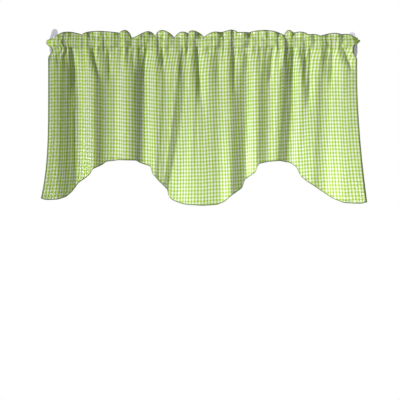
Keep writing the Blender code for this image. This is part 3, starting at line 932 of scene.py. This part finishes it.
def stitch_points(path, normal, pitch, length, radius):
    """Stitches along a path: each a short closed barrel that lies on the surface.

    Its rings stand along the path's tangent at length / 2 times STITCH_RINGS and have the thread's radius
    times STITCH_RADII, and their points turn round the tangent in equal steps.
    """
    run = running(np.linalg.norm(np.diff(path, axis=0), axis=1))
    places = np.arange(pitch, run[-1] - pitch, pitch)

    def at(spots, values):
        return np.stack([np.interp(spots, run, values[:, k]) for k in range(3)], axis=-1)

    middle = at(places, path)
    tangent = at(places + length / 2, path) - at(places - length / 2, path)
    tangent /= np.linalg.norm(tangent, axis=1, keepdims=True)
    up = at(places, normal)
    side = np.cross(tangent, up)
    side /= np.linalg.norm(side, axis=1, keepdims=True)
    up = np.cross(side, tangent)
    reach = (length / 2 * np.array(STITCH_RINGS))[:, None, None]
    radii = (radius * np.array(STITCH_RADII))[:, None, None]
    angle = np.arange(STITCH_SIDES) * 2 * pi / STITCH_SIDES
    ring = np.cos(angle)[:, None] * side[:, None, None] + np.sin(angle)[:, None] * up[:, None, None]
    return middle[:, None, None] + tangent[:, None, None] * reach + ring * radii


def stitch_faces(count):
    """Quads of all the stitches, with each hexagonal end closed by two of them."""
    first = np.arange(STITCH_SIDES)
    second = (first + 1) % STITCH_SIDES
    wall = np.stack([first, second, second + STITCH_SIDES, first + STITCH_SIDES], axis=1)
    rings = len(STITCH_RINGS)
    walls = [wall + k * STITCH_SIDES for k in range(rings - 1)]
    start = np.array([[0, 3, 2, 1], [0, 5, 4, 3]])
    end = start[:, [0, 3, 2, 1]] + (rings - 1) * STITCH_SIDES
    one = np.concatenate([*walls, start, end])
    return (np.arange(count)[:, None, None] * rings * STITCH_SIDES + one[None]).reshape(-1, 4)


def add_node(tree, kind, inputs, **settings):
    """A node with its settings, and its inputs set or linked."""
    made = tree.nodes.new(kind)
    for name, value in settings.items():
        setattr(made, name, value)
    for key, value in inputs.items():
        if isinstance(value, bpy.types.NodeSocket):
            tree.links.new(value, made.inputs[key])
        else:
            made.inputs[key].default_value = value
    return made


def calc(tree, operation, *values):
    """The output of a Math node."""
    return add_node(tree, "ShaderNodeMath", dict(enumerate(values)), operation=operation).outputs[0]


def blend(tree, share, first, second):
    """A colour between two, by a share from 0 to 1."""
    inputs = {0: share, 6: first, 7: second}
    return add_node(tree, "ShaderNodeMix", inputs, data_type="RGBA").outputs[2]


def step(tree, value, low, high):
    """0 below low, 1 above high and a smooth step between."""
    inputs = {0: value, 1: low, 2: high}
    made = add_node(tree, "ShaderNodeMapRange", inputs, interpolation_type="SMOOTHSTEP")
    return made.outputs[0]


def new_group(name, inputs, outputs):
    """An empty shader node group with its sockets: (tree, group input node, group output node)."""
    tree = bpy.data.node_groups.new(name, "ShaderNodeTree")
    for label, kind, value in inputs:
        socket = tree.interface.new_socket(name=label, in_out="INPUT", socket_type=kind)
        if value is not None:
            socket.default_value = value
    for label, kind in outputs:
        tree.interface.new_socket(name=label, in_out="OUTPUT", socket_type=kind)
    return tree, tree.nodes.new("NodeGroupInput"), tree.nodes.new("NodeGroupOutput")


def gingham_group():
    """Plain-woven gingham: green and white yarns in stripes of nearly equal width, both ways of the cloth.

    The colour is that of the two stripes that cross, with the yarn that lies on top showing a little more.
    """
    tree, given, result = new_group(
        "gingham_weave",
        (
            ("Flat", "NodeSocketVector", None),
            ("Repeat Across", "NodeSocketFloat", 0.0066),
            ("Repeat Down", "NodeSocketFloat", 0.0087),
            ("Yarn", "NodeSocketFloat", 0.0005),
            ("Green", "NodeSocketColor", (0.3, 0.45, 0.05, 1)),
            ("Half Tone", "NodeSocketColor", (0.6, 0.7, 0.25, 1)),
            ("White", "NodeSocketColor", (0.9, 0.9, 0.9, 1)),
        ),
        (("Color", "NodeSocketColor"), ("Height", "NodeSocketFloat")),
    )
    flat = add_node(tree, "ShaderNodeSeparateXYZ", {0: given.outputs["Flat"]})
    stripes, yarns = [], []
    for axis, repeat in ((0, "Repeat Across"), (1, "Repeat Down")):
        turn = calc(tree, "DIVIDE", flat.outputs[axis], given.outputs[repeat])
        wave = calc(tree, "SINE", calc(tree, "MULTIPLY", turn, 2 * pi))
        stripes.append(step(tree, wave, *STRIPE_EDGE))
        thread = calc(tree, "DIVIDE", flat.outputs[axis], given.outputs["Yarn"])
        yarns.append(calc(tree, "SINE", calc(tree, "MULTIPLY", thread, pi)))
    product = calc(tree, "MULTIPLY", *yarns)
    over = step(tree, product, -CROSSING_EDGE, CROSSING_EDGE)
    difference = calc(tree, "SUBTRACT", stripes[0], stripes[1])
    top = calc(tree, "MULTIPLY_ADD", difference, over, stripes[1])
    average = calc(tree, "MULTIPLY_ADD", difference, UPRIGHT_SHARE, stripes[1])
    average = calc(tree, "MULTIPLY", average, 1 - TOP_YARN_SHARE)
    tone = calc(tree, "ADD", average, calc(tree, "MULTIPLY", top, TOP_YARN_SHARE))
    light = blend(tree, step(tree, tone, 0.0, 0.5), given.outputs["White"], given.outputs["Half Tone"])
    colour = blend(tree, step(tree, tone, 0.5, 1.0), light, given.outputs["Green"])
    tree.links.new(colour, result.inputs["Color"])
    tree.links.new(calc(tree, "ABSOLUTE", product), result.inputs["Height"])
    return tree


def unevenness_group():
    """Slow and fine unevenness, from 0 to 1, that shades a colour and roughens a surface."""
    tree, given, result = new_group(
        "soft_unevenness",
        (
            ("Vector", "NodeSocketVector", None),
            ("Scale", "NodeSocketFloat", 60.0),
            ("Color", "NodeSocketColor", (0.8, 0.8, 0.8, 1)),
            ("Shade", "NodeSocketFloat", 0.9),
        ),
        (("Color", "NodeSocketColor"), ("Height", "NodeSocketFloat")),
    )
    inputs = {"Vector": given.outputs["Vector"], "Scale": given.outputs["Scale"], "Detail": 4.0}
    noise = add_node(tree, "ShaderNodeTexNoise", inputs)
    height = step(tree, noise.outputs[0], 0.3, 0.7)
    least = given.outputs["Shade"]
    shade = calc(tree, "MULTIPLY_ADD", height, calc(tree, "SUBTRACT", 1.0, least), least)
    inputs = {0: given.outputs["Color"], 3: shade}
    scaled = add_node(tree, "ShaderNodeVectorMath", inputs, operation="SCALE")
    tree.links.new(scaled.outputs[0], result.inputs["Color"])
    tree.links.new(height, result.inputs["Height"])
    return tree


def uneven(tree, vector, colour, **values):
    """The shared unevenness group, made once, placed in a material with its own values."""
    group = bpy.data.node_groups.get("soft_unevenness") or unevenness_group()
    inputs = {"Vector": vector, "Color": colour, **values}
    return add_node(tree, "ShaderNodeGroup", inputs, node_tree=group)


def raised(tree, shader, height, strength, distance):
    """Gives the shader the normal of a Bump node with this height, strength and distance."""
    bump = add_node(tree, "ShaderNodeBump", {"Strength": strength, "Distance": distance, "Height": height})
    tree.links.new(bump.outputs[0], shader.inputs["Normal"])


def new_material(name, **values):
    """A material and its Principled node, with plain values on the shader's sockets."""
    made = bpy.data.materials.new(name)
    made.use_nodes = True
    shader = made.node_tree.nodes["Principled BSDF"]
    for label, value in values.items():
        shader.inputs[label.replace("_", " ")].default_value = value
    return made, made.node_tree, shader


def gingham_material(sizes):
    """Soft matt cotton gingham, with painted shade along its edges: a dark line along the hem, the sides and
    the header's fold stands in for the shade where the cloth turns away.
    """
    made, tree, shader = new_material(
        "gingham_cotton", Roughness=0.88, Sheen_Weight=0.12, Sheen_Roughness=0.5)
    flat = add_node(tree, "ShaderNodeUVMap", {}, uv_map="flat").outputs[0]
    inputs = {
        "Flat": flat,
        "Repeat Across": sizes.check_across,
        "Repeat Down": sizes.check_down,
        "Yarn": sizes.yarn,
        "Green": (*sizes.green, 1),
        "Half Tone": (*sizes.half_tone, 1),
        "White": (*sizes.white, 1),
    }
    weave = add_node(tree, "ShaderNodeGroup", inputs, node_tree=gingham_group())
    cotton = uneven(tree, flat, weave.outputs["Color"], Scale=90.0, Shade=0.93)
    # Painted shade: within a few millimetres of the hem, the sides and the header's fold, the colour turns
    # to the dark edge colour, standing in for the shade where the cloth turns away.
    edge = add_node(tree, "ShaderNodeAttribute", {}, attribute_name="edge")
    inside = step(tree, edge.outputs["Fac"], *EDGE_PAINTED_SHADE)
    colour = blend(tree, inside, (*sizes.edge, 1), cotton.outputs["Color"])
    tree.links.new(colour, shader.inputs["Base Color"])
    relief = calc(tree, "MULTIPLY_ADD", cotton.outputs["Height"], 0.6, weave.outputs["Height"])
    raised(tree, shader, relief, strength=0.35, distance=0.0003)
    return made


def thread_material(sizes):
    """Sewing thread with the slanting bands of its twist, the grooves between them darkened as painted
    shade.
    """
    made, tree, shader = new_material("sewing_thread", Roughness=0.7, Sheen_Weight=0.2)
    place = add_node(tree, "ShaderNodeTexCoord", {}).outputs["Object"]
    inputs = {"Vector": place, "Scale": 900.0, "Distortion": 0.6}
    bands = add_node(tree, "ShaderNodeTexWave", inputs, bands_direction="DIAGONAL").outputs["Fac"]
    twisted = uneven(tree, place, (*sizes.thread, 1), Scale=300.0)
    # Painted shade: the thread's colour is darkened in the grooves between its twists.
    dark = tuple(TWIST_PAINTED_SHADE * part for part in sizes.thread)
    colour = blend(tree, bands, (*dark, 1), twisted.outputs["Color"])
    tree.links.new(colour, shader.inputs["Base Color"])
    raised(tree, shader, bands, strength=0.4, distance=0.00008)
    return made


def enamel_material(sizes):
    """Thin satin enamel over pressed steel, a little uneven and dulled in patches."""
    made, tree, shader = new_material("satin_enamel", Coat_Weight=0.25, Coat_Roughness=0.25)
    place = add_node(tree, "ShaderNodeTexCoord", {}).outputs["Object"]
    broad = uneven(tree, place, (*sizes.enamel, 1), Scale=45.0, Shade=0.95)
    fine = uneven(tree, place, broad.outputs["Color"], Scale=700.0, Shade=0.98)
    tree.links.new(fine.outputs["Color"], shader.inputs["Base Color"])
    rough = calc(tree, "MULTIPLY_ADD", broad.outputs["Height"], 0.18, 0.3)
    tree.links.new(rough, shader.inputs["Roughness"])
    raised(tree, shader, fine.outputs["Height"], strength=0.2, distance=0.0002)
    return made


class ValanceSizes(bpy.types.PropertyGroup):
    """Sizes and colours of the cloth, its stitching and the rod's enamel."""

    thickness: bpy.props.FloatProperty(
        name="Cloth thickness", description="Thickness of the woven cotton", default=0.0007, unit="LENGTH")
    gather_depth: bpy.props.FloatProperty(
        name="Gather depth", description="Depth of the small gathers at the seams", default=0.0013,
        unit="LENGTH")
    check_across: bpy.props.FloatProperty(
        name="Check across", description="Width of one green and one white stripe", default=0.0070,
        unit="LENGTH")
    check_down: bpy.props.FloatProperty(
        name="Check down", description="Height of one green and one white stripe", default=0.00874,
        unit="LENGTH")
    yarn: bpy.props.FloatProperty(
        name="Yarn", description="Spacing of the yarns in the weave", default=0.00055, unit="LENGTH")
    green: bpy.props.FloatVectorProperty(
        name="Green", description="Where both yarns are green", default=(0.26, 0.43, 0.018),
        subtype="COLOR")
    half_tone: bpy.props.FloatVectorProperty(
        name="Half tone", description="Where green crosses white", default=(0.475, 0.62, 0.165),
        subtype="COLOR")
    white: bpy.props.FloatVectorProperty(
        name="White", description="Where both yarns are white", default=(0.67, 0.71, 0.67), subtype="COLOR")
    # Painted shade: the colour of the dark line along the hem, the sides and the header's fold, standing in
    # for the shade where the cloth turns away.
    edge: bpy.props.FloatVectorProperty(
        name="Turned edge", description="Along the hem, the sides and the header's top",
        default=(0.10, 0.155, 0.045), subtype="COLOR")
    thread: bpy.props.FloatVectorProperty(
        name="Thread", description="Sewing thread", default=(0.42, 0.56, 0.14), subtype="COLOR")
    enamel: bpy.props.FloatVectorProperty(
        name="Enamel", description="Enamel of the rod and its brackets", default=(0.70, 0.70, 0.80),
        subtype="COLOR")
    stitch_pitch: bpy.props.FloatProperty(
        name="Stitch pitch", description="Distance from one stitch to the next", default=0.0032,
        unit="LENGTH")
    stitch_length: bpy.props.FloatProperty(
        name="Stitch length", description="Length of one stitch", default=0.0024, unit="LENGTH")
    stitch_radius: bpy.props.FloatProperty(
        name="Stitch radius", description="Radius of the thread", default=0.00022, unit="LENGTH")


class StageSizes(bpy.types.PropertyGroup):
    """Floor, lights and camera."""

    floor_height: bpy.props.FloatProperty(
        name="Floor height", description="Height of the floor below the rod", default=-1.35, unit="LENGTH")
    floor: bpy.props.FloatVectorProperty(
        name="Floor", description="Colour of the floor", default=(0.86, 0.86, 0.87), subtype="COLOR")
    camera_distance: bpy.props.FloatProperty(
        name="Camera distance", description="From the camera to the rod", default=5.0, unit="LENGTH")
    frame_width: bpy.props.FloatProperty(
        name="Frame width", description="Width in view at the rod", default=0.976, unit="LENGTH")
    key_power: bpy.props.FloatProperty(
        name="Key light", description="Power of the broad light on the left", default=180.0, unit="POWER")
    low_power: bpy.props.FloatProperty(
        name="Low light", description="Power of the low light on the left", default=2.2, unit="POWER")
    right_power: bpy.props.FloatProperty(
        name="Right light", description="Power of the light on the right", default=0.1, unit="POWER")
    top_power: bpy.props.FloatProperty(
        name="Top light", description="Power of the light on the header", default=0.1, unit="POWER")
    end_power: bpy.props.FloatProperty(
        name="End light", description="Power of the light on the right end", default=0.03, unit="POWER")


class VALANCE_OT_cloth(bpy.types.Operator):
    """Hangs the gathered cloth on the rod, with its stitching"""

    bl_idname = "valance.cloth"
    bl_label = "Cloth and Stitching"

    def execute(self, context):
        sizes = context.scene.valance
        points, flat, edge, rows = cloth_sheet(sizes.gather_depth)
        mesh = mesh_from("valance_gingham", points, grid_faces(points))
        layer = mesh.uv_layers.new(name="flat")
        corners = np.empty(len(mesh.loops), np.int32)
        mesh.loops.foreach_get("vertex_index", corners)
        layer.data.foreach_set("uv", flat.reshape(-1, 2)[corners].astype(np.float32).ravel())
        near = mesh.attributes.new("edge", "FLOAT", "POINT")
        near.data.foreach_set("value", edge.astype(np.float32).ravel())
        cloth = show(mesh, gingham_material(sizes))
        wall = cloth.modifiers.new("thickness", "SOLIDIFY")
        wall.thickness = sizes.thickness
        wall.offset = 0.0
        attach(cloth, "root")
        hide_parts("valance_cloth")
        stitches = self.sew(sizes, points, rows)
        return {"FINISHED"}

    def sew(self, sizes, points, rows):
        """A row of stitches on the front along the hem and along each seam of the rod pocket."""
        normals = level_normals(points)
        thread = thread_material(sizes)
        proud = sizes.thickness / 2 + sizes.stitch_radius * STITCH_PROUD
        made = []
        for name, row in zip(("hem_stitches", "lower_seam_stitches", "upper_seam_stitches"), rows):
            path = points[:, row] + normals[:, row] * proud
            stitch = stitch_points(path, normals[:, row], sizes.stitch_pitch, sizes.stitch_length,
                                   sizes.stitch_radius)
            piece = show(mesh_from(name, stitch, stitch_faces(len(stitch))), thread)
            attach(piece, "root")
            made.append(piece)
        return made


class VALANCE_OT_rod(bpy.types.Operator):
    """Gives the rod and its brackets their enamel"""

    bl_idname = "valance.rod"
    bl_label = "Rod and Brackets"

    def execute(self, context):
        finish = enamel_material(context.scene.valance)
        for name in ("rod_outer", "rod_inner", "bracket_left", "bracket_right"):
            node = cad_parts[name]
            if not node.material_slots:
                node.data.materials.append(finish)
            for place in node.material_slots:
                place.material = finish
        return {"FINISHED"}


class VALANCE_OT_stage(bpy.types.Operator):
    """Sets the floor, the lights and the camera"""

    bl_idname = "valance.stage"
    bl_label = "Stage"

    def execute(self, context):
        stage = context.scene.valance_stage
        self.floor(stage)
        self.lights(context, stage)
        self.camera(context, stage)
        context.scene.view_settings.view_transform = "Standard"
        return {"FINISHED"}

    def floor(self, stage):
        """A plain pale floor well below the hem."""
        grid = np.linspace(-FLOOR_REACH, FLOOR_REACH, FLOOR_POINTS)
        x, y = np.meshgrid(grid, grid, indexing="ij")
        points = np.stack([x, y, np.full_like(x, stage.floor_height)], axis=-1)
        finish, _, _ = new_material("pale_floor", Base_Color=(*stage.floor, 1), Roughness=0.8)
        show(mesh_from("floor", points, grid_faces(points)), finish)

    def lights(self, context, stage):
        """A key light on the left, weaker narrow ones low, high and on the right, and a surround.

        The surround is white where the camera sees it.
        """
        world = bpy.data.worlds.new("pale_surround")
        context.scene.world = world
        world.use_nodes = True
        tree = world.node_tree
        tree.nodes.clear()
        seen = tree.nodes.new("ShaderNodeLightPath").outputs["Is Camera Ray"]
        strength = add_node(tree, "ShaderNodeMapRange", {0: seen, 3: SURROUND_STRENGTH, 4: 1.0})
        tint = blend(tree, seen, SURROUND_TINT, (1.0, 1.0, 1.0, 1))
        inputs = {"Color": tint, "Strength": strength.outputs[0]}
        surround = add_node(tree, "ShaderNodeBackground", inputs)
        add_node(tree, "ShaderNodeOutputWorld", {"Surface": surround.outputs[0]})
        for name, place, target, power, size, spread in (
            # metres, watts and degrees
            ("key_light", (-3.9, -2.4, 0.6), (0.0, -0.05, -0.2), stage.key_power, (0.7, 0.7), 180),
            ("low_light", (-2.65, -2.1, -1.0), (0.36, -0.05, -0.54), stage.low_power, (0.3, 0.5), 18),
            ("right_light", (3.0, -2.6, -0.2), (0.52, -0.05, -0.2), stage.right_power, (0.3, 0.8), 12),
            ("top_light", (-2.4, -2.6, 0.8), (0.1, -0.05, 0.08), stage.top_power, (0.2, 0.2), 8),
            ("end_light", (2.6, -2.6, 0.1), (0.43, -0.03, -0.01), stage.end_power, (0.1, 0.1), 5),
        ):
            lamp = bpy.data.lights.new(name, "AREA")
            lamp.energy = power
            lamp.shape = "RECTANGLE"
            lamp.size, lamp.size_y = size
            lamp.spread = radians(spread)
            made = bpy.data.objects.new(name, lamp)
            aim = np.array(target) - np.array(place)
            made.location = place
            tilt = float(np.arctan2(np.hypot(aim[0], aim[1]), -aim[2]))
            made.rotation_euler = (tilt, 0.0, float(np.arctan2(-aim[0], aim[1])))
            context.scene.collection.objects.link(made)

    def camera(self, context, stage):
        """A long lens straight in front, its view shifted down so that the valance stands high in it."""
        data = bpy.data.cameras.new("camera")
        data.sensor_width = SENSOR_WIDTH
        data.lens = SENSOR_WIDTH * (stage.camera_distance - ROD_PROJECTION) / stage.frame_width
        data.shift_y = (VIEW_MIDDLE - CAMERA_HEIGHT) / stage.frame_width
        made = bpy.data.objects.new("camera", data)
        made.location = (CAMERA_ACROSS, -stage.camera_distance, CAMERA_HEIGHT)
        made.rotation_euler = (pi / 2, 0.0, 0.0)
        context.scene.collection.objects.link(made)
        context.scene.camera = made


class VIEW3D_PT_valance(bpy.types.Panel):
    """Lists the sizes, the pieces and the stage."""

    bl_label = "Gingham Valance"
    bl_space_type = "VIEW_3D"
    bl_region_type = "UI"
    bl_category = "Valance"

    def draw(self, context):
        layout = self.layout
        for group, operators in (
            (context.scene.valance, ("valance.cloth", "valance.rod")),
            (context.scene.valance_stage, ("valance.stage",)),
        ):
            for name in group.__annotations__:
                layout.prop(group, name)
            for name in operators:
                layout.operator(name)


CLASSES = (
    ValanceSizes,
    StageSizes,
    VALANCE_OT_cloth,
    VALANCE_OT_rod,
    VALANCE_OT_stage,
    VIEW3D_PT_valance,
)


def register():
    for made in CLASSES:
        bpy.utils.register_class(made)
    bpy.types.Scene.valance = bpy.props.PointerProperty(type=ValanceSizes)
    bpy.types.Scene.valance_stage = bpy.props.PointerProperty(type=StageSizes)


def unregister():
    del bpy.types.Scene.valance_stage
    del bpy.types.Scene.valance
    for made in reversed(CLASSES):
        bpy.utils.unregister_class(made)


def main():
    register()
    bpy.ops.valance.cloth()
    bpy.ops.valance.rod()
    bpy.ops.valance.stage()


if __name__ == "__main__":
    main()
